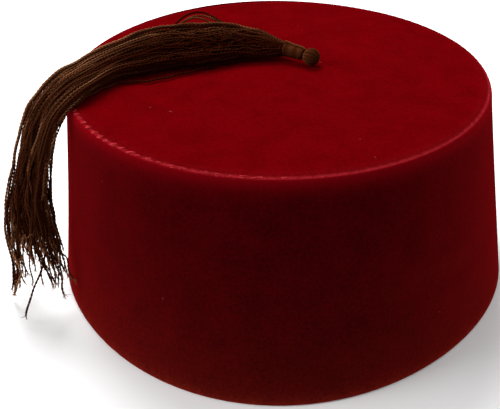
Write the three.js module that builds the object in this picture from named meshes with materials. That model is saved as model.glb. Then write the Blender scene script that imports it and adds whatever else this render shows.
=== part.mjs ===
// A fez: a stiff oval hat that narrows upwards to a flat top panel, with a thread-wound tassel.
// Millimetres, +Z up, +Y along the long axis of the head opening.
// The origin is the middle of the head opening, in the plane of the rim.

import * as THREE from "three";

// Driving dimensions of the hat. "fullness" swells the oval on its two axes and eases it between them.
const hatHeight = 81.2;
const rim = { halfWidth: 91, halfDepth: 98.9, fullness: 0.011 };
const crown = { halfWidth: 81, halfDepth: 85, fullness: 0 };
const crownLean = -2.2; // the top panel sits this far along X from the opening
const sideHollow = 0.3; // the side dips inwards by this much at half height
const wallThickness = 2.5;
const cornerRadius = 2.85; // the rolled edge between side and top panel
const seamAngle = THREE.MathUtils.degToRad(40); // where on that edge the panel is sewn in
const rimEdgeRadius = 0.8; // outer edge of the rim
const rimInnerRadius = 0.4;
const pieceGap = 0.35; // clearance between neighbouring pieces

// Driving dimensions of the tassel's head: a wound knob and the wound neck beside it.
const knob = { x: 10.2, y: 6.2, length: 6.8, width: 7.2, height: 6.7 };
const collar = { heading: 155, length: 7.7, rise: 0.5 };
const collarRadii = [2.3, 2.6, 2.55, 2.7, 3.0]; // from the knob's end to the skirt's end

// The skirt of the tassel, a row for each section along it: where its middle is, which way its
// flat side runs (degrees from +X, seen from above), and how wide and thick it is.
const skirtSections = [
  { x: -1.4, y: 11.5, z: 85.8, across: 72, wide: 6.2, thick: 5.6 },
  { x: -8, y: 12, z: 87, across: 82, wide: 16, thick: 8 },
  { x: -21, y: 13.5, z: 88, across: 90, wide: 34, thick: 10.5 },
  { x: -33, y: 12, z: 90, across: 96, wide: 48, thick: 12 },
  { x: -42, y: 6, z: 88, across: 104, wide: 49, thick: 11 },
  { x: -52, y: -4, z: 87.5, across: 114, wide: 39, thick: 9 },
  { x: -63, y: -17, z: 87.4, across: 124, wide: 28, thick: 8 },
  { x: -75, y: -31.5, z: 86, across: 132, wide: 19, thick: 7 },
  { x: -83.5, y: -38.5, z: 77.5, across: 136, wide: 15, thick: 9.5 },
  { x: -87, y: -41.5, z: 65.5, across: 138, wide: 12.5, thick: 11.5 },
  { x: -89.5, y: -44, z: 54, across: 140, wide: 12, thick: 12 },
  { x: -90.5, y: -47.5, z: 41, across: 140, wide: 18, thick: 14 },
  { x: -88.5, y: -51.5, z: 28, across: 140, wide: 29, thick: 16 },
  { x: -86.5, y: -55, z: 13, across: 140, wide: 39, thick: 19 },
];

// How finely the round shapes are divided.
const ovalSides = 128;
const cornerSteps = 4;
const smallSides = 24;
const skirtSides = 20;
const ringsPerSection = 3;

// The stretch of lathe radius next to the outer surface that keeps its true distance from it.
const latheRadius = 90;
const trueBand = 12;

const { cos, sin, hypot, atan2, PI } = Math;

// Radius of an oval at an angle: the ellipse in polar form, swollen on its axes by its fullness.
function ovalRadius({ halfWidth, halfDepth, fullness }, angle) {
  const ellipse =
    (halfWidth * halfDepth) / hypot(halfDepth * cos(angle), halfWidth * sin(angle));
  return ellipse * (1 + fullness * cos(4 * angle));
}

// Radius of the hat's outer surface: from the rim's oval to the crown's, dipping in between.
function outerRadius(angle, z) {
  const up = z / hatHeight;
  const straight = ovalRadius(rim, angle) * (1 - up) + ovalRadius(crown, angle) * up;
  return straight - sideHollow * 4 * up * (1 - up);
}

// Turns a lathed profile upright and reshapes its round to the hat's oval. A profile point at
// latheRadius lands on the outer surface, and one just inside it lands as far inside it.
function latheToOval(profile) {
  const geometry = new THREE.LatheGeometry(profile, ovalSides).rotateX(PI / 2);
  const points = geometry.getAttribute("position");
  const inside = latheRadius - trueBand;
  for (let i = 0; i < points.count; i += 1) {
    const angle = atan2(points.getY(i), points.getX(i));
    const radius = hypot(points.getX(i), points.getY(i));
    const z = points.getZ(i);
    const outer = outerRadius(angle, z);
    const reshaped =
      radius > inside ? outer + radius - latheRadius : (radius * (outer - trueBand)) / inside;
    const lean = (crownLean * z) / hatHeight;
    points.setXYZ(i, reshaped * cos(angle) + lean, reshaped * sin(angle), z);
  }
  return geometry;
}

// A point of a profile: how far outside the hat's outer surface, and how high.
const profilePoint = (out, z) => new THREE.Vector2(latheRadius + out, z);

// Points along a rounded corner of a profile, from one angle to another.
function cornerArc(out, z, radius, from, to) {
  return Array.from({ length: cornerSteps + 1 }, (_, i) => {
    const angle = from + ((to - from) * i) / cornerSteps;
    return profilePoint(out + radius * cos(angle), z + radius * sin(angle));
  });
}

// The rolled corner's centre, and the mitred joint where the panel meets the side.
const cornerOut = -cornerRadius;
const cornerZ = hatHeight - cornerRadius;
const halfJoint = pieceGap / 2 / cornerRadius; // half of the gap, as an angle at the corner
const jointFoot = { out: -wallThickness, z: hatHeight - wallThickness };

function crownWallGeometry() {
  const inner = rimInnerRadius;
  const first = cornerArc(-rimEdgeRadius, rimEdgeRadius, rimEdgeRadius, -PI / 2, 0);
  const profile = [
    ...first,
    ...cornerArc(cornerOut, cornerZ, cornerRadius, 0, seamAngle - halfJoint),
    profilePoint(jointFoot.out, jointFoot.z - pieceGap),
    ...cornerArc(inner - wallThickness, inner, inner, PI, (3 * PI) / 2),
    first[0].clone(),
  ];
  return latheToOval(profile);
}

function crownTipGeometry() {
  const bottom = hatHeight - wallThickness;
  const profile = [
    new THREE.Vector2(0, bottom),
    profilePoint(jointFoot.out - pieceGap, bottom),
    ...cornerArc(cornerOut, cornerZ, cornerRadius, seamAngle + halfJoint, PI / 2),
    new THREE.Vector2(0, hatHeight),
  ];
  return latheToOval(profile);
}

// The collar's axis runs from the knob towards the skirt, rising a little.
const headingAngle = THREE.MathUtils.degToRad(collar.heading);
const collarAxis = new THREE.Vector3(
  cos(headingAngle) * collar.length,
  sin(headingAngle) * collar.length,
  collar.rise,
).normalize();

function knobMesh(material) {
  const geometry = new THREE.SphereGeometry(0.5, smallSides, smallSides / 2);
  geometry.scale(knob.length, knob.width, knob.height);
  const mesh = new THREE.Mesh(geometry, material);
  mesh.name = "tassel_knob";
  mesh.position.set(knob.x, knob.y, hatHeight + pieceGap + knob.height / 2);
  mesh.rotation.z = headingAngle;
  return mesh;
}

function collarMesh(material) {
  const steps = collarRadii.length - 1;
  const sides = collarRadii.map((r, i) => new THREE.Vector2(r, (i / steps) * collar.length));
  const profile = [new THREE.Vector2(0, 0), ...sides, new THREE.Vector2(0, collar.length)];
  const mesh = new THREE.Mesh(new THREE.LatheGeometry(profile, smallSides), material);
  mesh.name = "tassel_collar";
  mesh.position
    .set(knob.x, knob.y, hatHeight + pieceGap + knob.height / 2)
    .addScaledVector(collarAxis, knob.length / 2 + pieceGap);
  mesh.quaternion.setFromUnitVectors(new THREE.Vector3(0, 1, 0), collarAxis);
  return mesh;
}

// A loft through the skirt's sections. A lathed spool gives the closed surface: each of its rings
// is laid on the ellipse spanned by the section's level flat side and the way square to it.
function skirtGeometry() {
  const last = skirtSections.length - 1;
  const rings = last * ringsPerSection;
  const middles = new THREE.CatmullRomCurve3(
    skirtSections.map((s) => new THREE.Vector3(s.x, s.y, s.z)),
    false,
    "catmullrom",
  );
  const shapes = new THREE.CatmullRomCurve3(
    skirtSections.map((s) => new THREE.Vector3(s.wide, s.thick, s.across)),
    false,
    "catmullrom",
  );
  const spool = Array.from({ length: rings + 1 }, (_, i) => new THREE.Vector2(1, i));
  const profile = [new THREE.Vector2(0, 0), ...spool, new THREE.Vector2(0, rings)];
  const geometry = new THREE.LatheGeometry(profile, skirtSides);
  const points = geometry.getAttribute("position");
  for (let i = 0; i < points.count; i += 1) {
    const along = points.getY(i) / rings;
    const middle = middles.getPoint(along);
    const direction = middles.getTangent(along);
    const shape = shapes.getPoint(along);
    const across = THREE.MathUtils.degToRad(shape.z);
    const flat = new THREE.Vector3(cos(across), sin(across), 0);
    const deep = new THREE.Vector3().crossVectors(flat, direction).normalize();
    middle.addScaledVector(flat, (points.getX(i) * shape.x) / 2);
    middle.addScaledVector(deep, (points.getZ(i) * shape.y) / 2);
    points.setXYZ(i, middle.x, middle.y, middle.z);
  }
  return geometry;
}

const velvet = { color: 0x6e0208, roughness: 0.95, metalness: 0 };
const thread = { color: 0x2b1109, roughness: 0.6, metalness: 0 };

function named(name, geometry, finish) {
  const mesh = new THREE.Mesh(geometry, new THREE.MeshStandardMaterial(finish));
  mesh.name = name;
  return mesh;
}

const fez = new THREE.Group();
fez.add(named("crown_wall", crownWallGeometry(), velvet));
fez.add(named("crown_tip", crownTipGeometry(), { ...velvet, color: 0x720308 }));

const tassel = new THREE.Group();
tassel.add(knobMesh(new THREE.MeshStandardMaterial({ ...thread, color: 0x3e1c0d })));
tassel.add(collarMesh(new THREE.MeshStandardMaterial({ ...thread, color: 0x36170a })));
tassel.add(named("tassel_skirt", skirtGeometry(), thread));
fez.add(tassel);

export default fez;
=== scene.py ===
import math

import bpy
import numpy as np
from mathutils import Matrix, Vector


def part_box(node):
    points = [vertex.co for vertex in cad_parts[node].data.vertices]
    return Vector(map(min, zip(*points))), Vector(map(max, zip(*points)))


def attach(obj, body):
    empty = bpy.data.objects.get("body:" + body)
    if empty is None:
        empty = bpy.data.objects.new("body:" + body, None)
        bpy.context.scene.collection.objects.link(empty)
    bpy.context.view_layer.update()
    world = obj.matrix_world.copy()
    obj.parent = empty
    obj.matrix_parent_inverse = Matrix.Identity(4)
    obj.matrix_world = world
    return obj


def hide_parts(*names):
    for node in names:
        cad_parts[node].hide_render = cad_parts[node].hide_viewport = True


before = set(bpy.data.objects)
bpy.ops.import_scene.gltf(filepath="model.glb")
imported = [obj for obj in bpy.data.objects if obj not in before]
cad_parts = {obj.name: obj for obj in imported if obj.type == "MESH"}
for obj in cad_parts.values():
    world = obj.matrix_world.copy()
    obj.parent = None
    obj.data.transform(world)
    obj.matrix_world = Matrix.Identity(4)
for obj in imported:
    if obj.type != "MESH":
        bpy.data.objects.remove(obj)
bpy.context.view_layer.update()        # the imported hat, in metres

mm = 0.001
tau = 2 * math.pi
scene = bpy.context.scene
print("frame loaded")


def gridQuads(rows, cols):
    # quads between neighbouring rings, running right round each ring
    across = np.arange(cols)
    r = np.arange(rows - 1)[:, None]
    a = r * cols + across
    b = r * cols + (across + 1) % cols
    return np.stack([a, b, b + cols, a + cols], axis=-1).reshape(-1, 4)


def closedGrid(rows, cols, start=0):
    # the same quads, with a fan from the first ring and one from the last to the two middle points
    # that follow the rings
    j = np.arange(cols)
    k = (j + 1) % cols
    last = (rows - 1) * cols
    lowFan = np.stack([k, j, 0 * j + rows * cols], axis=-1)
    highFan = np.stack([last + j, last + k, 0 * j + rows * cols + 1], axis=-1)
    return [part + start for part in (gridQuads(rows, cols), lowFan, highFan)]


def makePiece(name, points, faces, materials, faceMaterial=None):
    # points in millimetres; faces is a list of arrays of quads or triangles
    mesh = bpy.data.meshes.new(name)
    polygons = [face for part in faces for face in part.tolist()]
    mesh.from_pydata((points * mm).tolist(), [], polygons)
    for material in materials:
        mesh.materials.append(material)
    if faceMaterial is not None:
        mesh.polygons.foreach_set("material_index", np.asarray(faceMaterial, np.int32))
    mesh.shade_smooth()
    piece = bpy.data.objects.new(name, mesh)
    scene.collection.objects.link(piece)
    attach(piece, "root")
    print(name, len(mesh.polygons), "faces")
    return piece


def addValue(piece, name, values):
    # a number on every point, which the materials read by name; points past the list get 0
    every = np.zeros(len(piece.data.vertices), np.float32)
    every[:values.size] = values.ravel()
    layer = piece.data.attributes.new(name, "FLOAT", "POINT")
    layer.data.foreach_set("value", every)


def addUv(piece, name, uv):
    # a flat map from one (u, v) pair per point; points past the list get (0, 0)
    every = np.zeros((len(piece.data.vertices), 2), np.float32)
    every[:len(uv)] = uv
    corners = np.zeros(len(piece.data.loops), np.int32)
    piece.data.loops.foreach_get("vertex_index", corners)
    layer = piece.data.uv_layers.new(name=name)
    layer.data.foreach_set("uv", every[corners].ravel())


def threadUv(along, sides=6):
    # along a thread by its steps, and once round it
    return np.stack([np.repeat(along, sides), np.tile(np.arange(sides) / sides, len(along))], axis=-1)


def ease(x):
    # 0 below 0, 1 above 1, smooth between
    x = np.clip(x, 0, 1)
    return x * x * (3 - 2 * x)


def hump(x, middle, width):
    # a bell of height 1 round a middle
    return np.exp(-(((x - middle) / width) ** 2))


def turnHump(angle, middle, width):
    # the same bell on a circle, all in degrees
    away = (np.degrees(angle) - middle + 180) % 360 - 180
    return hump(away, 0, width)


def unit(v):
    # vectors made one long
    return v / np.linalg.norm(v, axis=-1, keepdims=True)


def wander(rng, count, steps, waves):
    # smooth random lines: a few sine waves of falling height and random phase, from about -1 to 1
    s = np.linspace(0, 1, steps)[None, :]
    total = np.zeros((count, steps))
    for wave in waves:
        phase = rng.uniform(0, tau, (count, 1))
        speed = wave * rng.uniform(0.75, 1.25, (count, 1))
        total += rng.normal(0, 1, (count, 1)) * np.sin(tau * speed * s + phase) / math.sqrt(len(waves))
    return total


def sweepTubes(path, section, turns=None, side=None):
    # carries a closed section along many paths at once: each ring stands square to its path, and a
    # middle point closes each end.
    # path: (tubes, steps, 3); section: (tubes or 1, steps or 1, points) radii; turns: twist at each step
    count, steps, _ = path.shape
    along = unit(np.gradient(path, axis=1))
    if side is None:
        side = np.broadcast_to(np.array([0.3, 0.2, 1.0]), path.shape)
    first = unit(side - (side * along).sum(-1, keepdims=True) * along)
    second = np.cross(along, first)
    points = section.shape[-1]
    angle = np.linspace(0, tau, points, endpoint=False)[None, None, :]
    if turns is not None:
        angle = angle + turns[..., None]
    ring = (first[:, :, None, :] * (np.cos(angle) * section)[..., None]
            + second[:, :, None, :] * (np.sin(angle) * section)[..., None])
    body = (path[:, :, None, :] + ring).reshape(-1, 3)
    one = gridQuads(steps, points)
    starts = np.arange(count)[:, None, None] * steps * points
    quads = (one[None] + starts).reshape(-1, 4)
    tips = np.concatenate([path[:, 0], path[:, -1]])
    firstTip = len(body) + np.arange(count)[:, None]
    lastTip = firstTip + count
    j = np.arange(points)[None, :]
    k = (j + 1) % points
    base = np.arange(count)[:, None] * steps * points
    lowCap = np.stack([base + k, base + j, firstTip + 0 * j], axis=-1).reshape(-1, 3)
    top = base + (steps - 1) * points
    highCap = np.stack([top + j, top + k, lastTip + 0 * j], axis=-1).reshape(-1, 3)
    return np.concatenate([body, tips]), [quads, lowCap, highCap]


def addNode(tree, kind, **settings):
    node = tree.nodes.new(kind)
    for key, value in settings.items():
        if key in node.inputs:
            node.inputs[key].default_value = value
        else:
            setattr(node, key, value)
    return node


def join(tree, source, target):
    tree.links.new(source, target)


def newGroup(name, inputs, outputs):
    group = bpy.data.node_groups.new(name, "ShaderNodeTree")
    for label, kind, value in inputs:
        socket = group.interface.new_socket(label, in_out="INPUT", socket_type=kind)
        socket.default_value = value
    for label, kind in outputs:
        group.interface.new_socket(label, in_out="OUTPUT", socket_type=kind)
    return group, group.nodes.new("NodeGroupInput"), group.nodes.new("NodeGroupOutput")


def placeGroup(tree, group, **values):
    node = tree.nodes.new("ShaderNodeGroup")
    node.node_tree = group
    for key, value in values.items():
        node.inputs[key].default_value = value
    return node


def newMaterial(name):
    material = bpy.data.materials.new(name)
    material.use_nodes = True
    tree = material.node_tree
    return material, tree, tree.nodes["Principled BSDF"]


def math2(tree, operation, a, b, clamp=False):
    # one sum of two values; each may be a socket or a number
    node = tree.nodes.new("ShaderNodeMath")
    node.operation = operation
    node.use_clamp = clamp
    for i, value in enumerate((a, b)):
        if hasattr(value, "default_value"):
            tree.links.new(value, node.inputs[i])
        else:
            node.inputs[i].default_value = value
    return node.outputs[0]


def mixColour(tree, factor, a, b):
    # b over a by a factor; each may be a socket or a fixed value
    node = tree.nodes.new("ShaderNodeMix")
    node.data_type = "RGBA"
    for socket, value in ((node.inputs[0], factor), (node.inputs[6], a), (node.inputs[7], b)):
        if hasattr(value, "default_value"):
            tree.links.new(value, socket)
        elif isinstance(value, tuple):
            socket.default_value = (*value, 1.0)
        else:
            socket.default_value = value
    return node.outputs[2]


def spread(tree, value, low, high, newLow=0.0, newHigh=1.0):
    # carries the stretch from low to high over to the new one
    node = tree.nodes.new("ShaderNodeMapRange")
    tree.links.new(value, node.inputs[0])
    for i, number in enumerate((low, high, newLow, newHigh), start=1):
        node.inputs[i].default_value = number
    return node.outputs[0]


velvet = {
    "hairSize": 2300.0,      # tufts of pile per metre
    "crushSize": 75.0,       # patches where the pile lies over
    # the side and the top are one cloth: the side's colours are painted darker and the top's lighter, for
    # how light falls on each
    "sideDeep": (0.0098, 0.00003, 0.0004),
    "sideLift": (0.0295, 0.00007, 0.0008),
    "topDeep": (0.062, 0.00003, 0.0006),
    "topLift": (0.099, 0.00009, 0.0012),
    "crest": (0.150, 0.00035, 0.0030),     # painted light: the side's cloth lightens where it rolls over into the top and faces up
    "foldSheenRed": (0.290, 0.0135, 0.0190),     # painted sheen along the fold, where the cloth turns over the edge
    "floorLitRed": (0.190, 0.0160, 0.0085),       # painted light from the floor, along the rim
    "sheenTint": (1.0, 0.018, 0.024),
    "sheenRough": 0.55,
    "sideSheen": 0.21,
    "topSheen": 0.05,
    "speckShare": 13.0,      # specks to a patch, across
    "pileBump": 0.00025,     # metres
}


def buildPileGroup():
    # short upright pile: fine tufts over faint crushed patches, then three masks of painted light laid over
    # them: the roll towards the top lit, a painted sheen along the fold and painted floor light along the
    # rim
    colours = ("Deep", "Lift", "CrestLight", "FoldSheen", "FloorLit")
    masks = ("Roll", "Fold", "FloorGlow")
    group, given, out = newGroup(
        "velvetPile",
        [("Tufts", "NodeSocketFloat", velvet["hairSize"]),
         ("Patches", "NodeSocketFloat", velvet["crushSize"])]
        + [(name, "NodeSocketColor", (0, 0, 0, 1)) for name in colours]
        + [(name, "NodeSocketFloat", 0.0) for name in masks],
        [("Color", "NodeSocketColor"), ("Height", "NodeSocketFloat"), ("Rough", "NodeSocketFloat")])
    place = addNode(group, "ShaderNodeTexCoord").outputs["Object"]
    tufts = addNode(group, "ShaderNodeTexNoise", Detail=2.0, Roughness=0.6)
    patches = addNode(group, "ShaderNodeTexNoise", Detail=3.0, Roughness=0.55, Distortion=0.4)
    specks = addNode(group, "ShaderNodeTexNoise", Detail=2.0)
    for noise in (tufts, patches, specks):
        join(group, place, noise.inputs["Vector"])
    join(group, given.outputs["Tufts"], tufts.inputs["Scale"])
    join(group, given.outputs["Patches"], patches.inputs["Scale"])
    speckScale = math2(group, "MULTIPLY", given.outputs["Patches"], velvet["speckShare"])
    join(group, speckScale, specks.inputs["Scale"])
    fine = spread(group, tufts.outputs["Fac"], 0.30, 0.70)
    broad = spread(group, patches.outputs["Fac"], 0.35, 0.68)
    speck = spread(group, specks.outputs["Fac"], 0.33, 0.67)
    small = math2(group, "ADD", math2(group, "MULTIPLY", fine, 0.50), math2(group, "MULTIPLY", speck, 0.50))
    lie = math2(group, "ADD", math2(group, "MULTIPLY", small, 1.15), math2(group, "MULTIPLY", broad, 0.55))
    lifted = math2(group, "SUBTRACT", lie, 0.35)
    ground = mixColour(group, lifted, given.outputs["Deep"], given.outputs["Lift"])
    # painted light: the side's colour turns to the crest colour where the cloth rolls over to face up
    rolled = mixColour(group, given.outputs["Roll"], ground, given.outputs["CrestLight"])
    ragged = spread(group, small, 0.2, 0.8, 0.65, 1.15)
    # painted light from the floor along the rim
    floorLitPile = mixColour(group, math2(group, "MULTIPLY", given.outputs["FloorGlow"], ragged, clamp=True),
                         rolled, given.outputs["FloorLit"])
    # painted sheen along the fold
    sheened = mixColour(group, math2(group, "MULTIPLY", given.outputs["Fold"], ragged, clamp=True),
                       floorLitPile, given.outputs["FoldSheen"])
    join(group, sheened, out.inputs["Color"])
    join(group, math2(group, "ADD", small, math2(group, "MULTIPLY", broad, 0.8)), out.inputs["Height"])
    join(group, spread(group, broad, 0.0, 1.0, 0.92, 0.80), out.inputs["Rough"])
    return group


pileGroup = buildPileGroup()


def velvetMaterial(name, deep, lift, sheen):
    # the pile group with this cloth's colours, painted darker on the side and lighter on the top for how
    # light falls on the one cloth, and the masks of painted light that its points carry
    material, tree, shader = newMaterial(name)
    colours = {"Deep": velvet[deep], "Lift": velvet[lift], "CrestLight": velvet["crest"],
               "FoldSheen": velvet["foldSheenRed"], "FloorLit": velvet["floorLitRed"]}
    pile = placeGroup(tree, pileGroup, **{key: (*value, 1) for key, value in colours.items()})
    for mask in ("Roll", "Fold", "FloorGlow"):
        source = addNode(tree, "ShaderNodeAttribute", attribute_name=mask.lower())
        join(tree, source.outputs["Fac"], pile.inputs[mask])
    join(tree, pile.outputs["Color"], shader.inputs["Base Color"])
    join(tree, pile.outputs["Rough"], shader.inputs["Roughness"])
    bump = addNode(tree, "ShaderNodeBump", Strength=0.35, Distance=velvet["pileBump"])
    join(tree, pile.outputs["Height"], bump.inputs["Height"])
    join(tree, bump.outputs["Normal"], shader.inputs["Normal"])
    shader.inputs["Specular IOR Level"].default_value = 0.0
    shader.inputs["Sheen Weight"].default_value = sheen
    shader.inputs["Sheen Roughness"].default_value = velvet["sheenRough"]
    shader.inputs["Sheen Tint"].default_value = (*velvet["sheenTint"], 1)
    return material


shadedSideVelvet = velvetMaterial("shadedSideVelvet", "sideDeep", "sideLift", velvet["sideSheen"])
litTopVelvet = velvetMaterial("litTopVelvet", "topDeep", "topLift", velvet["topSheen"])


lining = {
    "dark": (0.028, 0.002, 0.003),
    "pale": (0.075, 0.006, 0.008),
    "mapScale": 1.2,         # map units to a millimetre
    "bump": 0.0002,          # metres
}


def insideMaterial():
    # plain stiff cloth, a simple weave, on the hidden side
    material, tree, shader = newMaterial("insideCloth")
    place = addNode(tree, "ShaderNodeTexCoord").outputs["UV"]
    warp = addNode(tree, "ShaderNodeTexWave", Scale=1.0, Distortion=0.3, bands_direction="X")
    weft = addNode(tree, "ShaderNodeTexWave", Scale=1.0, Distortion=0.3, bands_direction="Y")
    for wave in (warp, weft):
        join(tree, place, wave.inputs["Vector"])
    weave = math2(tree, "MAXIMUM", warp.outputs["Fac"], weft.outputs["Fac"])
    join(tree, mixColour(tree, weave, lining["dark"], lining["pale"]), shader.inputs["Base Color"])
    bump = addNode(tree, "ShaderNodeBump", Strength=0.4, Distance=lining["bump"])
    join(tree, weave, bump.inputs["Height"])
    join(tree, bump.outputs["Normal"], shader.inputs["Normal"])
    shader.inputs["Roughness"].default_value = 0.85
    shader.inputs["Specular IOR Level"].default_value = 0.2
    return material


insideCloth = insideMaterial()


wallLow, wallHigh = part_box("crown_wall")
tipLow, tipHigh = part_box("crown_tip")

hat = {
    "height": tipHigh.z / mm,
    "fullness": 0.011,           # how much the rim's oval swells on its two axes
    "sideHollow": 0.3,           # the side's slight dip at half height
    "wall": 2.5,
    "corner": 2.85,              # radius of the rolled edge
    "seamAngle": 40.0,           # where on the rolled edge the top is sewn in, in degrees
    "lipBack": 0.9,              # how far the side's rolled edge stands above the top, at the back
    "lipElsewhere": 0.12,
    "rimTaper": 0.1,             # the box is met a little up the side, where it is this much narrower
    "puckers": 118,              # small gathers round the seam
}
hat["seamInset"] = hat["corner"] * (1 - math.cos(math.radians(hat["seamAngle"])))
hat["rimWidth"] = (wallHigh.x - wallLow.x) / 2 / mm / (1 + hat["fullness"]) + hat["rimTaper"]
hat["rimDepth"] = (wallHigh.y - wallLow.y) / 2 / mm / (1 + hat["fullness"]) + hat["rimTaper"]
hat["topWidth"] = (tipHigh.x - tipLow.x) / 2 / mm + hat["seamInset"]
hat["topDepth"] = (tipHigh.y - tipLow.y) / 2 / mm + hat["seamInset"]
hat["lean"] = (tipHigh.x + tipLow.x) / 2 / mm


def ovalRadius(width, depth, fullness, angle):
    # an ellipse in polar form, swollen on its axes
    ellipse = width * depth / np.hypot(depth * np.cos(angle), width * np.sin(angle))
    return ellipse * (1 + fullness * np.cos(4 * angle))


def hatPoint(angle, z, out):
    # a point a given way outside the hat's side at an angle and height: the rim's oval turns into
    # the top's oval on the way up, dipping in a little between, and leans over with height
    up = z / hat["height"]
    rim = ovalRadius(hat["rimWidth"], hat["rimDepth"], hat["fullness"], angle)
    top = ovalRadius(hat["topWidth"], hat["topDepth"], 0.0, angle)
    radius = rim * (1 - up) + top * up - hat["sideHollow"] * 4 * up * (1 - up) + out
    return np.stack([radius * np.cos(angle) + hat["lean"] * up, radius * np.sin(angle),
                     np.broadcast_to(z, radius.shape)], axis=-1)


def lipHeight(angle):
    # how far the rolled edge stands above the top, most of all round the back left
    return hat["lipElsewhere"] + hat["lipBack"] * turnHump(angle, 112, 34)


def arc(out, z, radius, start, stop, steps):
    # profile points on a circle round (out, z), from one angle to another in degrees
    turn = np.radians(np.linspace(start, stop, steps))
    return np.stack([out + radius * np.cos(turn), z + radius * np.sin(turn)], axis=-1)


def line(a, b, steps):
    # even points between two others, without the two
    return np.linspace(a, b, steps)[1:-1]


wallSettings = {
    "around": 448,
    "rimRadius": 1.1,
    "upSteps": 56,
    "downSteps": 22,
    "turnedIn": 11.0,        # the velvet goes this far up inside, in millimetres
    "lipRadius": 0.16,       # the cut edge at the seam
    "lipRange": 7.0,         # the lift of the rolled edge begins this far below the top
    "pucker": 0.06,
    "foldWidth": 0.52,
    "rollLength": 3.0,       # millimetres, down the side
    # how strong the painted pale band low at the right is, with its faint darker line
    "rightBandDepth": 0.024,
}


def buildWall():
    # one closed shell: a profile of (outward, height) pairs carried round the oval
    s = wallSettings
    h, c, w, r = hat["height"], hat["corner"], hat["wall"], s["rimRadius"]
    rimOut = arc(-r, r, r, -90, 0, 7)
    corner = arc(-c, h - c, c, 0, hat["seamAngle"] + 1, 14)
    lip = arc(corner[-1][0] - 0.12, corner[-1][1] - 0.14, s["lipRadius"], 60, 200, 5)
    tuck = np.array([[-1.7, h - 2.0], [-w, h - 2.6]])       # the edge goes down inside, below the top
    rimIn = arc(r - w + 0.15, r, r, 180, 270, 6)
    profile = np.concatenate([
        rimOut, line(rimOut[-1], corner[0], s["upSteps"]), corner, lip, tuck,
        line(tuck[-1], rimIn[0], s["downSteps"]), rimIn])
    outsideCount = len(rimOut) + s["upSteps"] - 2 + len(corner) + len(lip)
    turn = np.linspace(0, tau, s["around"], endpoint=False)
    angle = turn[None, :] + 0 * profile[:, :1]
    out = profile[:, :1] + 0 * angle
    z = profile[:, 1:] + 0 * angle
    # the rolled edge lifts near the top, and the cloth is never quite even
    near = ease((z - (h - s["lipRange"])) / 6)
    outer = np.arange(len(profile))[:, None] < outsideCount
    uneven = (0.10 * np.sin(3 * angle + 0.9 + z / 40) + 0.07 * np.sin(7 * angle + 2.0 - z / 25)
              + 0.05 * np.sin(17 * angle + z / 14)) * ease(z / 12) * ease((h - 3 - z) / 8)
    gather = np.sin(hat["puckers"] * angle + 2 * np.sin(5 * angle))
    pucker = s["pucker"] * near * gather * hump(z, h - 2.2, 1.6) * outer
    points = hatPoint(angle, np.minimum(z, h), out + uneven + pucker)
    points[..., 2] = z + near * lipHeight(angle)
    rows, cols = angle.shape
    # the profile's last point meets its first, round the rim
    j = np.arange(cols)
    k = (j + 1) % cols
    last = (rows - 1) * cols
    closing = np.stack([last + j, last + k, k, j], axis=-1)
    faces = np.concatenate([gridQuads(rows, cols), closing])
    cloth = (~outer[: rows - 1]) & (z[: rows - 1] >= s["turnedIn"])
    isCloth = np.concatenate([np.broadcast_to(cloth[:, :1], (rows - 1, cols)).ravel(), np.zeros(cols)])
    wall = makePiece("velvetSide", points.reshape(-1, 3), [faces], [shadedSideVelvet, insideCloth],
                     faceMaterial=isCloth)
    down = h - z
    ragged = 0.75 + 0.25 * np.sin(23 * angle + 3 * np.sin(7 * angle)) * np.sin(61 * angle)
    # painted sheen along the fold at the top of the side
    addValue(wall, "fold", outer * foldStrength(angle) * 0.82 * hump(down, 0.5, s["foldWidth"]))
    # painted light on the rolled edge, fading down the side
    addValue(wall, "roll", outer * (0.80 * np.exp(-((down - 0.6).clip(0) / s["rollLength"]) ** 1.25)))
    # painted light from the floor, palest at the rim and fading upwards, with a faint darker line low at
    # the right and a painted pale band over it
    rightBand = s["rightBandDepth"] * turnHump(angle, 318, 26) * (hump(z, 36, 5.0) - 0.75 * hump(z, 28.5, 2.6))
    addValue(wall, "floorglow", 0.75 * ragged * np.exp(-z / 1.6) + 0.10 * np.exp(-z / 9.0)
             + 0.115 * np.exp(-z / 26.0) + rightBand)
    # a flat map of the side, unrolled from a round of 90 mm
    clothUv = np.stack([angle * 90 * lining["mapScale"], z * lining["mapScale"]], axis=-1)
    addUv(wall, "clothUv", clothUv.reshape(-1, 2))
    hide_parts("crown_wall")


def foldStrength(angle):
    # how strongly the painted sheen along the fold shows: all round, strongest at the left and a little
    # broken at the front left
    steady = 0.90 - 0.38 * turnHump(angle, 222, 42)
    broken = 0.20 * turnHump(angle, 240, 34) * np.sin(63 * angle + 2.5 * np.sin(9 * angle))
    fine = 0.08 * np.sin(131 * angle + 4 * np.sin(11 * angle))
    return steady + broken + fine


tipSettings = {
    "around": 400,
    "topSteps": 72,
    "underSteps": 10,
    "innerShare": 0.012,     # of the way out, where the last ring stops
    "wave": 0.22,            # how uneven the top is, in millimetres
    "ripple": 0.12,
    "dint": 0.35,            # where the knob is sewn down
    "dintWidth": 5.5,
    "pucker": 0.05,
}


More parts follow.
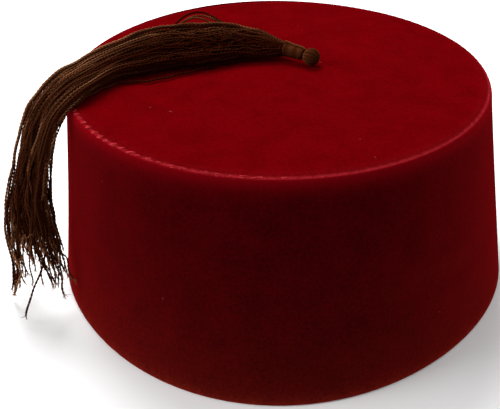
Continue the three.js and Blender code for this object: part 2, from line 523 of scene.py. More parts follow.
def buildTip():
    # a closed disc: rings shrink to a middle point on the top and on the underside
    s = tipSettings
    h, c = hat["height"], hat["corner"]
    foot = np.array([[-hat["wall"] - 0.5, h - hat["wall"]]])
    edge = arc(-c, h - c, c - 0.05, hat["seamAngle"] - 4, 90, 12)
    share = np.linspace(1, s["innerShare"], s["topSteps"])            # of the way out, on the top
    shareUnder = np.linspace(s["innerShare"], 1, s["underSteps"])
    turn = np.linspace(0, tau, s["around"], endpoint=False)[None, :]
    inner = hatPoint(turn, h + 0 * turn, -c)                # where the flat top begins
    centre = np.array([hat["lean"], 0.0, h])
    flat = centre + share[1:, None, None] * (inner - centre)
    angle = turn + 0 * edge[:, :1]
    rolled = hatPoint(angle, np.minimum(edge[:, 1:], h) + 0 * angle, edge[:, :1] + 0 * angle)
    rolled[..., 2] = edge[:, 1:]
    under = hatPoint(turn, foot[:, 1:] + 0 * turn, foot[:, :1] + 0 * turn)
    below = centre + shareUnder[:-1, None, None] * (under - centre)
    below[..., 2] = foot[0, 1]
    rings = np.concatenate([below, under, rolled, flat])
    # a very slight drumhead: low and high places, and a small dint where the knob is sewn down
    x, y = rings[..., 0], rings[..., 1]
    topSide = (np.arange(len(rings)) >= len(below) + 1)[:, None]
    fromEdge = np.hypot((x - hat["lean"]) / hat["topWidth"], y / hat["topDepth"])
    calm = ease((0.97 - fromEdge) / 0.25)
    wave = s["wave"] * np.sin(x / 23 + 1.1) * np.cos(y / 31 + 0.4) + s["ripple"] * np.sin(x / 11 - y / 17)
    knobLow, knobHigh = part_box("tassel_knob")
    kx, ky = (knobLow.x + knobHigh.x) / 2 / mm, (knobLow.y + knobHigh.y) / 2 / mm
    dint = -s["dint"] * np.exp(-((x - kx) ** 2 + (y - ky) ** 2) / s["dintWidth"] ** 2)
    around = np.arctan2(y, x - hat["lean"])
    gather = np.sin(hat["puckers"] * around + 2 * np.sin(5 * around))
    pucker = s["pucker"] * gather * hump(fromEdge, 0.985, 0.012)
    rings[..., 2] += topSide * (calm * wave + dint + pucker)
    rows, cols = x.shape
    points = np.concatenate([rings.reshape(-1, 3), [[hat["lean"], 0, foot[0, 1]], [hat["lean"], 0, h]]])
    points[-1, 2] = rings[-1, :, 2].mean()
    isCloth = np.concatenate([np.repeat(np.arange(rows - 1) < len(below), cols), np.ones(cols),
                              np.zeros(cols)])
    tip = makePiece("velvetTop", points, closedGrid(rows, cols), [litTopVelvet, insideCloth],
                    faceMaterial=isCloth)
    inwards = (1 - fromEdge) * (hat["topWidth"] + hat["topDepth"]) / 2     # about how far from the edge, mm
    # the painted sheen of the fold reaches a little way onto the top
    glow = 1.05 * hump(inwards, 0.70, 0.58) + 0.07 * hump(inwards, 1.5, 2.2)
    fold = topSide * foldStrength(around) * glow
    addValue(tip, "fold", fold)
    addUv(tip, "clothUv", points[:, :2] * lining["mapScale"])
    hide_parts("crown_tip")


buildWall()
buildTip()


edgeStitches = {
    "count": 126,
    "radius": 0.17,
    "crest": 50.0,           # where on the rolled edge they lie, in degrees
    "steps": 8,
    "steep": 1.3,            # millimetres across the fold, at the left
    "long": 3.0,             # millimetres along it
    "apart": 0.36,           # between the threads of one stitch
    "edgeRadius": 83.0,      # of the crown's edge, taken as round
    "sunk": 0.42,            # into the pile, away from the left
    "dark": (0.22, 0.007, 0.010),
    "pale": (0.44, 0.024, 0.030),
}


def stitchMaterial():
    material, tree, shader = newMaterial("seamThread")
    place = addNode(tree, "ShaderNodeTexCoord").outputs["Object"]
    tone = addNode(tree, "ShaderNodeTexNoise", Scale=900.0, Detail=2.0)
    join(tree, place, tone.inputs["Vector"])
    amount = spread(tree, tone.outputs["Fac"], 0.35, 0.65)
    shade = mixColour(tree, amount, edgeStitches["dark"], edgeStitches["pale"])
    join(tree, shade, shader.inputs["Base Color"])
    shader.inputs["Roughness"].default_value = 0.8
    shader.inputs["Specular IOR Level"].default_value = 0.05
    return material


def buildStitches():
    # each stitch is a few short threads lying slantwise on the fold, steep at the left and nearly in
    # line at the front, sunk into the pile by an amount that changes round the hat
    s = edgeStitches
    rng = np.random.default_rng(7)
    n = s["count"] * 3
    start = np.linspace(0, tau, s["count"], endpoint=False) + rng.normal(0, 0.006, s["count"])
    start = np.repeat(start, 3)[:, None]
    ply = np.tile([-1.0, 0.0, 1.0], s["count"])[:, None] + rng.normal(0, 0.25, (n, 1))
    start = start + rng.normal(0, 0.004, (n, 1))
    across = np.linspace(-0.5, 0.5, s["steps"])[None, :]
    left = turnHump(start, 212, 34)
    reach = rng.uniform(0.6, 1.15, (n, 1))
    steep = s["steep"] * (0.15 + 0.85 * left) * reach
    along = s["long"] * (1 + 0.5 * (1 - left) * rng.uniform(0, 1, (n, 1))) * reach
    angle = start + along * across / s["edgeRadius"]
    bend = 0.12 * np.sin(across * rng.uniform(3, 9, (n, 1)) + rng.uniform(0, tau, (n, 1)))
    turn = np.radians(s["crest"]) + (steep * across + ply * s["apart"] + bend) / hat["corner"]
    deep = np.repeat(rng.normal(0, 0.09, s["count"]), 3)[:, None]
    sink = (-s["sunk"] + 0.36 * left + 0.22 * turnHump(start, 246, 20) + deep
            + rng.normal(0, 0.03, (n, 1)) + 0.18 * np.cos(across * math.pi) - 0.06 * ply ** 2)
    c = hat["corner"]
    out = -c + (c + sink) * np.cos(turn)
    z = hat["height"] - c + (c + sink) * np.sin(turn)
    path = hatPoint(angle, np.minimum(z, hat["height"]), out)
    onSide = turn < np.radians(hat["seamAngle"])
    near = ease((z - (hat["height"] - wallSettings["lipRange"])) / 6)
    path[..., 2] = z + lipHeight(angle) * near * onSide
    radii = np.full((1, 1, 6), s["radius"]) * (0.5 + 0.5 * np.cos(across * math.pi))[..., None]
    points, faces = sweepTubes(path, radii)
    makePiece("edgeStitches", points, faces, [stitchMaterial()])


buildStitches()


# a row for each section along the bundle, in millimetres: its near side, towards the front of the hat,
# its far side, and how thick it is between them
bundleRows = np.array([
    # nearX nearY  nearZ   farX   farY  farZ  thick
    (-1.5, 8.6, 84.9, 0.2, 14.0, 86.2, 5.0),
    (-9.0, 6.0, 84.0, -11.7, 25.0, 87.4, 6.5),
    (-17.0, 4.5, 84.0, -22.0, 28.5, 86.6, 7.5),
    (-25.5, -0.5, 84.0, -32.3, 27.0, 86.6, 8.5),
    (-35.0, -5.0, 84.0, -43.6, 23.3, 86.6, 9.0),
    (-44.5, -9.5, 84.0, -53.3, 18.5, 87.2, 9.0),
    (-53.0, -14.5, 84.2, -62.5, 9.0, 87.3, 8.0),
    (-60.5, -19.5, 84.4, -71.0, -5.5, 87.3, 7.3),
    (-65.0, -29.0, 84.5, -76.4, -17.5, 87.1, 7.0),
    (-68.8, -40.0, 84.2, -81.2, -29.0, 86.5, 7.0),
    (-74.2, -45.5, 79.5, -85.4, -34.0, 82.4, 7.5),
    (-78.1, -46.0, 72.5, -90.0, -36.5, 75.5, 8.5),
    (-81.2, -46.5, 63.5, -92.7, -38.0, 66.5, 10.0),
    (-83.6, -47.5, 54.0, -95.2, -39.0, 56.5, 11.5),
    (-84.2, -49.0, 44.0, -97.8, -40.5, 46.0, 13.5),
    (-82.2, -51.5, 34.0, -100.2, -42.5, 35.0, 15.0),
    (-79.2, -54.5, 24.0, -101.5, -43.0, 24.5, 17.0),
    (-76.2, -57.5, 13.5, -102.0, -43.5, 13.5, 18.0),
])

# strands that leave the rest: side (1 far, -1 near), the row where they stray most, how far past the
# edge in half widths, over how many rows, how high in the bundle, how much higher at the tip, and the
# row they end at
strayStrands = np.array([
    # side at    by    over  high  lift  end
    (1, 3.40, 1.58, 1.05, -0.3, 0.0, 16.6),
    (1, 3.35, 1.36, 1.00, -0.3, 0.0, 15.8),
    (1, 3.50, 1.12, 0.90, -0.2, 0.3, 17.2),
    (1, 3.70, 0.74, 0.80, -0.1, 0.0, 16.2),
    (1, 5.80, 0.22, 0.70, 0.1, 0.0, 16.9),
    (1, 7.60, 0.16, 0.80, 0.2, 0.0, 15.9),
    (1, 9.20, 0.20, 0.70, 0.1, 0.0, 15.9),
    (1, 10.9, 0.36, 0.45, 0.0, 0.0, 16.0),
    (1, 11.3, 0.24, 0.60, 0.2, 0.0, 15.7),
    (1, 15.3, 0.44, 2.20, 0.1, 0.0, 16.3),
    (1, 15.5, 0.25, 1.80, -0.1, 0.0, 16.3),
    (1, 16.0, 0.02, 1.20, 0.3, 0.0, 15.6),
    (1, 16.8, -0.12, 1.20, 0.5, 0.0, 17.9),
    (1, 16.8, -0.30, 1.20, 0.8, 0.0, 17.7),
    (1, 16.8, -0.48, 1.20, 0.7, 0.0, 18.0),
    (1, 16.8, -0.66, 1.20, 0.9, 0.0, 17.8),
    (-1, 5.60, 0.46, 1.80, -0.7, 0.0, 16.5),
    (-1, 10.7, 0.16, 0.50, 0.3, 0.0, 15.2),
    (-1, 11.4, 0.13, 0.45, 0.0, 0.0, 15.6),
    (-1, 12.1, 0.15, 0.50, 0.4, 0.0, 16.4),
    (-1, 12.9, 0.11, 0.40, 0.6, 0.0, 16.0),
    (-1, 11.9, 0.07, 1.20, 0.2, 0.0, 13.5),
    (-1, 13.8, 0.14, 0.45, 0.0, 0.0, 14.2),
    (-1, 16.6, 0.10, 0.50, 0.3, 0.0, 17.3),
    (-1, 19.0, -0.80, 2.60, 0.2, 1.3, 18.0),
])


def alongRows(rows, t):
    # Catmull-Rom through the rows, t from 0 to the last row; straight on past the end
    last = len(rows) - 1
    inside = np.clip(t, 0, last - 1e-6)
    i = np.floor(inside).astype(int)
    s = (inside - i)[..., None]
    padded = np.concatenate([[2 * rows[0] - rows[1]], rows, [2 * rows[-1] - rows[-2]]])
    p0, p1, p2, p3 = (padded[i + k] for k in range(4))
    value = 0.5 * (2 * p1 + (p2 - p0) * s + (2 * p0 - 5 * p1 + 4 * p2 - p3) * s ** 2
                   + (3 * p1 - p0 - 3 * p2 + p3) * s ** 3)
    return value + np.maximum(t - last, 0)[..., None] * (rows[-1] - rows[-2])


def bundlePoint(t, u, v):
    # a place in the bundle: t along it, u from the near side (-1) to the far side (1), and v through
    # its thickness, from the hat's side (-1) to the open side (1)
    row = alongRows(bundleRows, t)
    middle = (row[..., :3] + row[..., 3:6]) / 2
    half = (row[..., 3:6] - row[..., :3]) / 2
    ahead, behind = alongRows(bundleRows, t + 0.05), alongRows(bundleRows, np.maximum(t - 0.05, 0))
    step = (ahead[..., :3] + ahead[..., 3:6] - behind[..., :3] - behind[..., 3:6])
    deep = unit(np.cross(half, step))
    return middle + half * u[..., None] + deep * (v * row[..., 6] / 2)[..., None]


tassel = {
    "strands": 148,
    "radius": 0.43,          # of a whole strand, over both plies
    "waist": 0.46,           # how deep the groove between the plies is
    "turn": 3.2,             # millimetres for a full twist
    "stepLength": 0.64,
    "sides": 6,
    "pieces": 5,
    "strayRadius": 0.54,     # the strays are the fatter ones
    "kink": 0.42,            # how far loose ends wave about, millimetres
    "pathSteps": 420,        # points along a strand while its path is worked out
    "above": 0.45,           # millimetres kept clear of the top
    "beside": 0.25,          # and of the side
    "lowest": 0.8,           # no strand runs nearer the ground
}

rayon = {
    # dark, middle and light
    "strand": ((0.0150, 0.0013, 0.0004), (0.1030, 0.0335, 0.0130), (0.3100, 0.1470, 0.0680)),
    "wound": ((0.020, 0.0036, 0.0011), (0.058, 0.0145, 0.0045), (0.130, 0.0440, 0.0160)),
    "rough": 0.50,
    "sheen": 0.08,
    "sheenRough": 0.30,
    "sheenTint": (1.0, 0.25, 0.10),
    "bump": 0.00008,         # metres
}


def threadMaterial(name, dark, middle, light):
    # twisted rayon: fine filaments along the thread and a tone for each strand, with painted shade in its
    # groove
    material, tree, shader = newMaterial(name)
    uv = addNode(tree, "ShaderNodeTexCoord").outputs["UV"]
    stretch = addNode(tree, "ShaderNodeMapping")
    stretch.inputs["Scale"].default_value = (1.0, 9.0, 1.0)
    join(tree, uv, stretch.inputs["Vector"])
    filament = addNode(tree, "ShaderNodeTexNoise", Scale=1.6, Detail=3.0, Roughness=0.6)
    join(tree, stretch.outputs["Vector"], filament.inputs["Vector"])
    tone = addNode(tree, "ShaderNodeAttribute", attribute_name="tone").outputs["Fac"]
    fine = spread(tree, filament.outputs["Fac"], 0.32, 0.68)
    groove = addNode(tree, "ShaderNodeAttribute", attribute_name="groove").outputs["Fac"]
    streaked = spread(tree, fine, 0.0, 1.0, 0.55, 1.25)
    # painted shade in the groove between the plies
    lit = spread(tree, groove, 0.0, 0.75, 1.0, 0.25)
    amount = math2(tree, "MULTIPLY", math2(tree, "MULTIPLY", tone, streaked), lit)
    # the paler, the more golden: dark red brown to the middle colour, then on to the light one
    lower = mixColour(tree, spread(tree, amount, 0.0, 0.45), dark, middle)
    join(tree, mixColour(tree, spread(tree, amount, 0.45, 1.1), lower, light), shader.inputs["Base Color"])
    rough = spread(tree, fine, 0.0, 1.0, rayon["rough"] + 0.08, rayon["rough"] - 0.06)
    join(tree, rough, shader.inputs["Roughness"])
    bump = addNode(tree, "ShaderNodeBump", Strength=0.5, Distance=rayon["bump"])
    join(tree, fine, bump.inputs["Height"])
    join(tree, bump.outputs["Normal"], shader.inputs["Normal"])
    shader.inputs["Specular IOR Level"].default_value = 0.0
    shader.inputs["Sheen Weight"].default_value = rayon["sheen"]
    shader.inputs["Sheen Roughness"].default_value = rayon["sheenRough"]
    shader.inputs["Sheen Tint"].default_value = (*rayon["sheenTint"], 1)
    return material


strandRayon = threadMaterial("strandRayon", *rayon["strand"])
woundRayon = threadMaterial("woundRayon", *rayon["wound"])


def hatInside(points):
    # how far inside the top's edge a point is, seen from above
    x, y = points[..., 0] - hat["lean"], points[..., 1]
    angle = np.arctan2(y, x)
    return ovalRadius(hat["topWidth"], hat["topDepth"], 0.0, angle) - np.hypot(x, y)


def keepOff(path, reach):
    # lifts what would sink into the top, and pushes out what would enter the side
    x, y, z = path[..., 0], path[..., 1], path[..., 2]
    overTop = ease((hatInside(path) - 0.3) / 1.5)
    floor = hat["height"] + tassel["above"] + reach
    lifted = np.where(overTop > 0, np.maximum(z, floor * overTop + z * (1 - overTop)), z)
    up = np.clip(lifted, 0, hat["height"]) / hat["height"]
    angle = np.arctan2(y, x - hat["lean"] * up)
    wall = np.linalg.norm(hatPoint(angle, lifted.clip(0, hat["height"]), 0.0)[..., :2]
                          - np.stack([hat["lean"] * up, 0 * up], axis=-1), axis=-1)
    away = np.hypot(x - hat["lean"] * up, y)
    push = np.where(lifted < hat["height"] - 1.0, np.maximum(wall + reach + tassel["beside"] - away, 0), 0)
    return np.stack([x + push * np.cos(angle), y + push * np.sin(angle),
                     np.maximum(lifted, tassel["lowest"])], axis=-1)


def strandPaths():
    # where each strand runs: even spots in a disc that wander a little, then the strays
    rng = np.random.default_rng(21)
    n, extra = tassel["strands"], len(strayStrands)
    steps = tassel["pathSteps"]
    k = np.arange(n)
    spot = np.sqrt((k + 0.5) / n) * 0.97
    spotTurn = k * math.pi * (3 - math.sqrt(5))
    # most strands end together, and some at the two sides hang lower
    kind = rng.uniform(0, 1, n)
    wide = np.abs(spot * np.cos(spotTurn))
    far = np.cos(spotTurn) > 0
    openSide = far & (np.sin(spotTurn) > 0.1)
    low = np.where(kind > 0.84, rng.normal(17.0, 0.15, n), rng.normal(16.4, 0.30, n))
    low = low + 0.35 * far + 0.55 * openSide
    end = np.where((kind > 0.55) & (wide > 0.40), low, rng.normal(15.55, 0.28, n))
    side, strayAt, strayBy, strayOver, strayHigh, strayLift, strayEnd = strayStrands.T[:, :, None]
    end = np.concatenate([end, strayEnd[:, 0]]).clip(13.5, 18.0)
    t = np.linspace(0, 1, steps)[None, :] * end[:, None]
    free = ease(t[:n] / 2.5)
    u = (spot * np.cos(spotTurn))[:, None] + 0.13 * free * wander(rng, n, steps, (1.2, 2.6, 5.0))
    u = u + 0.085 * hump(t[:n], 2.8, 2.2) * wander(rng, n, steps, (8, 13, 19))
    v = (spot * np.sin(spotTurn))[:, None] + 0.20 * free * wander(rng, n, steps, (1.0, 2.3, 4.2))
    hold = 1 / np.maximum(np.hypot(u, v), 1)
    loose = t[n:]
    strayU = side * (0.9 + strayBy * hump(loose, strayAt, strayOver))
    strayU = strayU + 0.02 * wander(rng, extra, steps, (9, 17))
    # one that runs low over the top comes back among the rest as it hangs
    staysLow = 1 - (strayHigh < -0.5) * ease((loose - 8) / 2.5)
    strayV = (strayHigh * ease(loose / 3) * staysLow + strayLift * ease((loose - strayEnd + 3) / 3)
              + 0.05 * wander(rng, extra, steps, (3, 7)))
    u = np.concatenate([u * hold, strayU])
    v = np.concatenate([v * hold, strayV])
    path = bundlePoint(t, u, v)
    # loose ends wave about more and more towards their tips
    growing = (0.20 + 0.80 * ease((t - end[:, None] + 3.0) / 3.0) + 0.25 * ease((t - 10.5) / 3)
               + 0.75 * hump(t, 3.0, 1.9))
    total = n + extra
    waving = np.stack([wander(rng, total, steps, (5, 9, 14)) for _ in range(3)], axis=-1)
    waving[n:] *= 0.45
    path = path + tassel["kink"] * (growing * ease(t / 1.5))[..., None] * waving * np.array([1, 1, 0.3])
    path = keepOff(path, tassel["radius"])
    return np.concatenate([path, u[..., None], t[..., None]], axis=-1), rng


def evenSteps(path, spacing):
    # the same lines with even steps; all get as many as the longest needs
    gap = np.linalg.norm(np.diff(path[..., :3], axis=1), axis=-1)
    walked = np.concatenate([np.zeros((len(path), 1)), np.cumsum(gap, axis=1)], axis=1)
    count = int(walked[:, -1].max() / spacing) + 1
    wanted = np.linspace(0, 1, count)[None, :] * walked[:, -1:]
    lines = [np.stack([np.interp(w, d, values) for values in p.T], axis=-1)
             for w, d, p in zip(wanted, walked, path)]
    return np.stack(lines), wanted


frays = {"perStrand": 10, "length": 2.1, "radius": 0.17, "spread": 0.30, "steps": 4}


def buildFrays(path, rng):
    # the cut ends untwist into a few fine filaments
    s = frays
    tip = np.repeat(path[:, -2], s["perStrand"], axis=0)
    heading = np.repeat(unit(path[:, -1] - path[:, -4]), s["perStrand"], axis=0)
    splay = rng.normal(0, s["spread"], (len(tip), 3))
    curl = rng.normal(0, s["spread"] * 0.6, (len(tip), 3))
    size = s["length"] * rng.uniform(0.45, 1.1, (len(tip), 1, 1))
    w = np.linspace(0, 1, s["steps"])[None, :, None]
    reach = heading[:, None] * w + splay[:, None] * w ** 1.3 + curl[:, None] * w ** 3
    lines = tip[:, None] + size * reach
    lines[..., 2] = np.maximum(lines[..., 2], 0.3)
    radii = s["radius"] * (1 - 0.6 * w) * np.ones((1, 1, 3))
    points, faces = sweepTubes(lines, radii)
    piece = makePiece("frayedEnds", points, faces, [strandRayon])
    addUv(piece, "threadUv", np.zeros((len(points), 2)))
    addValue(piece, "tone", np.full(len(points), 0.8))


def buildStrands():
    path, rng = strandPaths()
    path, walked = evenSteps(path, tassel["stepLength"])
    u, t, path = path[..., 3], path[..., 4], path[..., :3]
    n, steps, _ = path.shape
    angle = np.linspace(0, tau, tassel["sides"], endpoint=False)
    whole = np.where(np.arange(n) < tassel["strands"], tassel["radius"], tassel["strayRadius"])
    lobes = 1 - tassel["waist"] * np.sin(angle) ** 2
    thin = 0.85 + 0.15 * ease((walked[:, -1:] - walked) / 1.5)
    section = whole[:, None, None] * lobes[None, None, :] * thin[..., None]
    twist = walked * tau / tassel["turn"] + rng.uniform(0, tau, (n, 1))
    # a few strands are pale and most dark, in loose bands; a painted highlight makes all palest round the
    # bend over the edge, they are paler at their ends, and painted shade makes them darkest on the near
    # side where they lie on the top
    pale = np.where(rng.uniform(0, 1, n) > 0.70, rng.uniform(0.80, 1.45, n), rng.uniform(0.05, 0.52, n))
    bands = 0.75 + 0.35 * np.sin(9 * u + 1.3 * np.sin(t / 3))
    # painted highlight round the bend over the edge, and paler towards the ends
    bend = 0.58 + 0.30 * ease((t - 8) / 4) + 1.10 * hump(t, 8.8, 2.9) + 0.42 * ease((t - 14.6) / 1.6)
    # painted shade on the near side, where the strands lie on the top
    nearSideShade = 1 - 0.78 * ease((0.40 - u) / 0.8) * ease((8.5 - t) / 2.5)
    tone = pale[:, None] * bands * bend * nearSideShade
    for g in range(tassel["pieces"]):
        pick = np.arange(n) % tassel["pieces"] == g
        points, faces = sweepTubes(path[pick], section[pick], twist[pick])
        piece = makePiece(f"strands_{g + 1}", points, faces, [strandRayon])
        addUv(piece, "threadUv", threadUv(walked[pick].ravel(), tassel["sides"]))
        sideTone = np.repeat(tone[pick].ravel(), tassel["sides"])
        addValue(piece, "tone", np.concatenate([sideTone, tone[pick][:, 0], tone[pick][:, -1]]))
        addValue(piece, "groove", np.tile(np.sin(angle) ** 2, pick.sum() * steps))
        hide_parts("tassel_skirt")
    buildFrays(path, rng)


buildStrands()


knobSettings = {
    "size": (6.8, 7.2, 6.7),     # in line with the collar, across it, and upwards
    "heading": 155.0,            # which way the collar points, in degrees from the hat's width
    "wraps": 17,
    "thread": 0.27,
    "steps": 44,
    "drift": 0.5,
    "core": 0.93,                # of the knob's size
    "coreRings": 14,
    "coreAround": 24,
}


def knobCentre():
    low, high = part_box("tassel_knob")
    return np.array((low + high) / 2) / mm


def buildKnob():
    # a wound button: a small core under threads that each go right round it, past its two ends
    s = knobSettings
    centre = knobCentre()
    size = np.array(s["size"]) / 2
    rng = np.random.default_rng(5)
    heading = math.radians(s["heading"])
    axis = np.array([math.cos(heading), math.sin(heading), 0])
    side = np.array([-math.sin(heading), math.cos(heading), 0])
    up = np.array([0, 0, 1.0])
    turn = np.linspace(0, tau, s["steps"], endpoint=False)[None, :]
    spin = (np.arange(s["wraps"]) / s["wraps"] * math.pi)[:, None] + rng.normal(0, 0.02, (s["wraps"], 1))
    tilt = s["drift"] * rng.normal(0, 0.16, (s["wraps"], 1)) + 0.24
    a = np.cos(turn)
    b = np.sin(turn) * np.cos(spin) + tilt * np.sin(spin) * 0.6
    c = np.sin(turn) * np.sin(spin) - tilt * np.cos(spin) * 0.6
    length = np.sqrt(a ** 2 + b ** 2 + c ** 2)
    grow = 1 - s["thread"] * 0.9 / size.mean() + rng.normal(0, 0.012, (s["wraps"], 1))
    path = centre + (axis * (a / length * size[0] * grow)[..., None]
                     + side * (b / length * size[1] * grow)[..., None]
                     + up * (c / length * size[2] * grow)[..., None])
    path = np.concatenate([path, path[:, :1]], axis=1)
    points, faces = sweepTubes(path, np.full((1, 1, 6), s["thread"]), side=unit(path - centre))
    # the core: a closed ball of rings under the threads
    rings, around = s["coreRings"], s["coreAround"]
    lat = np.linspace(-math.pi / 2, math.pi / 2, rings + 2)[1:-1, None]
    lon = np.linspace(0, tau, around, endpoint=False)[None, :]
    core = centre + np.stack([np.cos(lat) * np.cos(lon) * size[0], np.cos(lat) * np.sin(lon) * size[1],
                              np.sin(lat) * size[2] + 0 * lon], axis=-1) * s["core"]
    poles = centre + np.array([[0, 0, -size[2]], [0, 0, size[2]]]) * s["core"]
    allPoints = np.concatenate([points, core.reshape(-1, 3), poles])
    coreFaces = closedGrid(rings, around, len(points))
    knob = makePiece("woundKnob", allPoints, [*faces, *coreFaces], [woundRayon])
    addUv(knob, "threadUv", threadUv(np.tile(np.arange(path.shape[1]) * 0.5, s["wraps"])))
    # painted light: palest on the collar's side, and painted shade on the far side
    tone = rng.uniform(0.35, 1, (s["wraps"], 1)) * (0.60 + 0.40 * np.append(np.cos(turn), [[1]], axis=1))
    addValue(knob, "tone", np.repeat(tone.ravel(), 6))
    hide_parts("tassel_knob")


buildKnob()


collarSettings = {
    "run": 7.7,              # the collar's axis rises by so much over so long a run
    "rise": 0.5,
    "fromKnob": 3.6,
    "length": 8.0,
    "stations": (0, 0.12, 0.5, 0.8, 1),      # shares of its length, and the radius at each
    "radii": (2.0, 2.45, 2.5, 2.62, 2.9),
    "pitch": 0.44,
    "thread": 0.25,
    "stepsPerTurn": 26,
    "ridge": 0.42,           # the thread laid along it
    "ridgeAt": 112.0,
    "ridgeSteps": 30,
    "ridgeTwist": 2.4,
    "coreRings": 12,
    "coreAround": 24,
}


def collarRadius(q):
    # straight between the radii at the named shares of the length
    return np.interp(q, collarSettings["stations"], collarSettings["radii"])


def buildCollar():
    # a helix of thread close-wound round a necked core: each turn moves on by the pitch, at the
    # core's radius there
    s = collarSettings
    heading = math.radians(knobSettings["heading"])
    axis = unit(np.array([math.cos(heading) * s["run"], math.sin(heading) * s["run"], s["rise"]]))
    start = knobCentre() + axis * s["fromKnob"]
    length = s["length"]
    side = unit(np.cross(np.array([0, 0, 1.0]), axis))
    up = np.cross(axis, side)
    turns = length / s["pitch"]
    q = np.linspace(0, 1, int(turns * s["stepsPerTurn"]))
    rng = np.random.default_rng(3)
    wobble = 0.04 * np.sin(q * turns * tau / 2.7) + 0.03 * np.sin(q * turns * tau / 1.31 + 1)
    r = collarRadius(q) - s["thread"] * 0.6 + wobble
    a = q * turns * tau
    path = (start + axis * (q * length)[:, None] + side * (r * np.cos(a))[:, None]
            + up * (r * np.sin(a))[:, None])
    outward = side * np.cos(a)[:, None] + up * np.sin(a)[:, None]
    points, faces = sweepTubes(path[None], np.full((1, 1, 6), s["thread"]), side=outward[None])
    # a thicker thread laid along the collar's back, over the winding
    qr = np.linspace(-0.04, 1.12, s["ridgeSteps"])
    laid = math.radians(s["ridgeAt"])
    ridgePath = (start + axis * (qr * length)[:, None]
                 + (side * math.cos(laid) + up * math.sin(laid))
                 * (collarRadius(qr.clip(0, 1)) + 0.22)[:, None])
    ridgeRadii = s["ridge"] * (1 - 0.3 * np.sin(np.arange(6) / 6 * tau) ** 2)[None, None, :]
    ridgeTurns = (qr * length * tau / s["ridgeTwist"])[None]
    ridge, ridgeFaces = sweepTubes(ridgePath[None], ridgeRadii, turns=ridgeTurns)
    faces = faces + [part + len(points) for part in ridgeFaces]
    winding = len(points)
    points = np.concatenate([points, ridge])
    # the core
    rings, around = s["coreRings"], s["coreAround"]
    qc = np.linspace(0, 1, rings)[:, None]
    lon = np.linspace(0, tau, around, endpoint=False)[None, :]
    rc = collarRadius(qc) - s["thread"] * 0.9
    core = (start + axis * (qc * length)[..., None] + side * (rc * np.cos(lon))[..., None]
            + up * (rc * np.sin(lon))[..., None])
    coreFaces = closedGrid(rings, around, len(points))
    ends = np.stack([start, start + axis * length])
    allPoints = np.concatenate([points, core.reshape(-1, 3), ends])
    collar = makePiece("woundCollar", allPoints, [*faces, *coreFaces], [woundRayon])
    addUv(collar, "threadUv", threadUv(a * 0.4))
    # painted shade: darker in the groove under the laid thread, and low down
    tone = 0.55 + 0.20 * np.sin(a / 9.0) + rng.normal(0, 0.05, len(a))
    tone = tone * (1 - 0.85 * turnHump(a, s["ridgeAt"] - 24, 15)) * (0.75 + 0.25 * np.sin(a))
    tones = np.zeros(winding + len(ridge))
    tones[:len(a) * 6] = np.repeat(tone, 6)
    tones[winding:] = 1.0
    addValue(collar, "tone", tones)
    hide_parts("tassel_collar")


buildCollar()


# pale fibres caught in the pile: where each lies, in millimetres, how long it is and which way it runs
lintPlaces = np.array([
    # x     y      z     long  way
    (1.3, 50.4, 81.3, 1.1, 40.0),
    (-44.2, -39.2, 81.3, 1.0, 10.0),
    (-36.0, -41.6, 81.3, 1.8, -20.0),
    (30.9, -56.0, 81.3, 0.6, 80.0),
    (36.0, -68.1, 81.3, 0.7, 120.0),
    (13.6, 9.0, 81.5, 1.6, 70.0),
    (-32.0, -86.95, 33.3, 1.8, -18.0),
    (62.35, -65.9, 19.7, 1.1, 40.0),
    (-55.6, -67.2, 66.0, 0.8, -40.0),
])
lint = {"perPlace": 2, "radius": 0.06, "steps": 7, "arch": 0.12, "colour": (0.24, 0.030, 0.032)}


def buildLint():
    # a few fibres at each place, each bent its own way and arched a little off the cloth
    rng = np.random.default_rng(13)
    rows = np.repeat(lintPlaces, lint["perPlace"], axis=0)
    n = len(rows)
    spot = rows[:, :3] + rng.normal(0, 0.12, (n, 3)) * np.array([1, 1, 0.3])
    heading = np.radians(rows[:, 4] + rng.normal(0, 22, n))
    w = np.linspace(-0.5, 0.5, lint["steps"])[None, :, None]
    along = np.stack([np.cos(heading), np.sin(heading), 0 * heading], axis=-1)
    bend = np.stack([-np.sin(heading), np.cos(heading), 0 * heading], axis=-1)
    bend = bend * rng.normal(0, 0.7, (n, 1))
    lift = np.array([0, 0, lint["arch"]])
    size = (rows[:, 3] * rng.uniform(0.6, 1.1, n))[:, None, None]
    path = spot[:, None] + size * (along[:, None] * w + bend[:, None] * w ** 2) + lift * (1 - 4 * w ** 2)
    points, faces = sweepTubes(path, np.full((1, 1, 4), lint["radius"]))
    material, _, shader = newMaterial("lintFibre")
    shader.inputs["Base Color"].default_value = (*lint["colour"], 1)
    shader.inputs["Roughness"].default_value = 0.9
    shader.inputs["Specular IOR Level"].default_value = 0.05
    makePiece("lint", points, faces, [material])


buildLint()


studio = {
    "floorHalf": 3000.0,
    "floorColour": (0.86, 0.86, 0.86),
    "worldColour": (1.0, 1.0, 1.0),
    "worldStrength": 0.64,
    # name, place, what it is aimed at, size and power, in metres and watts
    "lamps": (
        ("overhead", (-0.30, 0.70, 1.05), (0, 0, 0.05), 0.7, 22.0),
        ("leftFill", (-0.9, -0.35, 0.6), (0, 0, 0.05), 0.6, 7.1),
        ("rightFill", (1.0, 0.20, 0.18), (0, 0, 0.04), 0.5, 1.6),
    ),
}


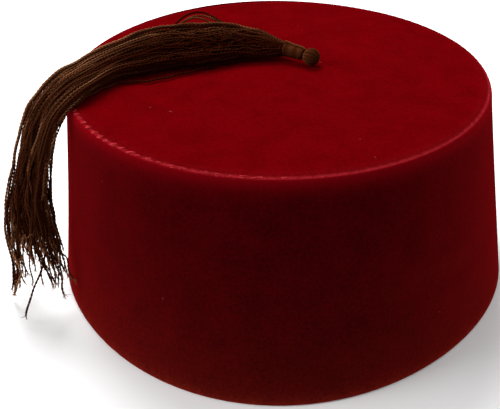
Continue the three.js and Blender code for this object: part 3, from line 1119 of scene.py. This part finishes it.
def buildFloor():
    half = studio["floorHalf"] * mm
    mesh = bpy.data.meshes.new("floor")
    corners = [(-half, -half, 0), (half, -half, 0), (half, half, 0), (-half, half, 0)]
    mesh.from_pydata(corners, [], [(0, 1, 2, 3)])
    floor = bpy.data.objects.new("floor", mesh)
    scene.collection.objects.link(floor)
    material, _, shader = newMaterial("paleFloor")
    shader.inputs["Base Color"].default_value = (*studio["floorColour"], 1)
    shader.inputs["Roughness"].default_value = 0.9
    mesh.materials.append(material)


def addLamp(name, place, target, size, power):
    lamp = bpy.data.lights.new(name, "AREA")
    lamp.shape = "DISK"
    lamp.size = size
    lamp.energy = power
    thing = bpy.data.objects.new(name, lamp)
    thing.location = Vector(place)
    thing.rotation_mode = "QUATERNION"
    thing.rotation_quaternion = (Vector(place) - Vector(target)).to_track_quat("Z", "Y")
    scene.collection.objects.link(thing)


def buildLight():
    world = bpy.data.worlds.new("softBox")
    world.use_nodes = True
    background = world.node_tree.nodes["Background"]
    background.inputs["Color"].default_value = (*studio["worldColour"], 1)
    background.inputs["Strength"].default_value = studio["worldStrength"]
    scene.world = world
    for lamp in studio["lamps"]:
        addLamp(*lamp)
    scene.view_settings.view_transform = "Standard"
    scene.view_settings.look = "None"


viewpoint = {"target": (-13.8, 0.0, 19.4), "distance": 382.6, "azimuth": 7.80, "elevation": 31.17,
             "roll": -0.64, "lens": 64.6, "sensor": 36.0}


def buildCamera():
    # looks back along a line from the target, turned a little about that line
    v = viewpoint
    az, el, roll = (math.radians(v[key]) for key in ("azimuth", "elevation", "roll"))
    back = Vector((math.sin(az) * math.cos(el), -math.cos(az) * math.cos(el), math.sin(el)))
    right = (-back).cross(Vector((0, 0, 1))).normalized()
    up = back.cross(right)
    turnedRight = right * math.cos(roll) + up * math.sin(roll)
    turnedUp = up * math.cos(roll) - right * math.sin(roll)
    data = bpy.data.cameras.new("camera")
    data.lens = v["lens"]
    data.sensor_width = v["sensor"]
    data.clip_start = 0.01
    camera = bpy.data.objects.new("camera", data)
    place = Vector(v["target"]) * mm + back * v["distance"] * mm
    rotation = Matrix((turnedRight, turnedUp, back)).transposed()
    camera.matrix_world = Matrix.Translation(place) @ rotation.to_4x4()
    scene.collection.objects.link(camera)
    scene.camera = camera


buildFloor()
buildLight()
buildCamera()
print("stage set")
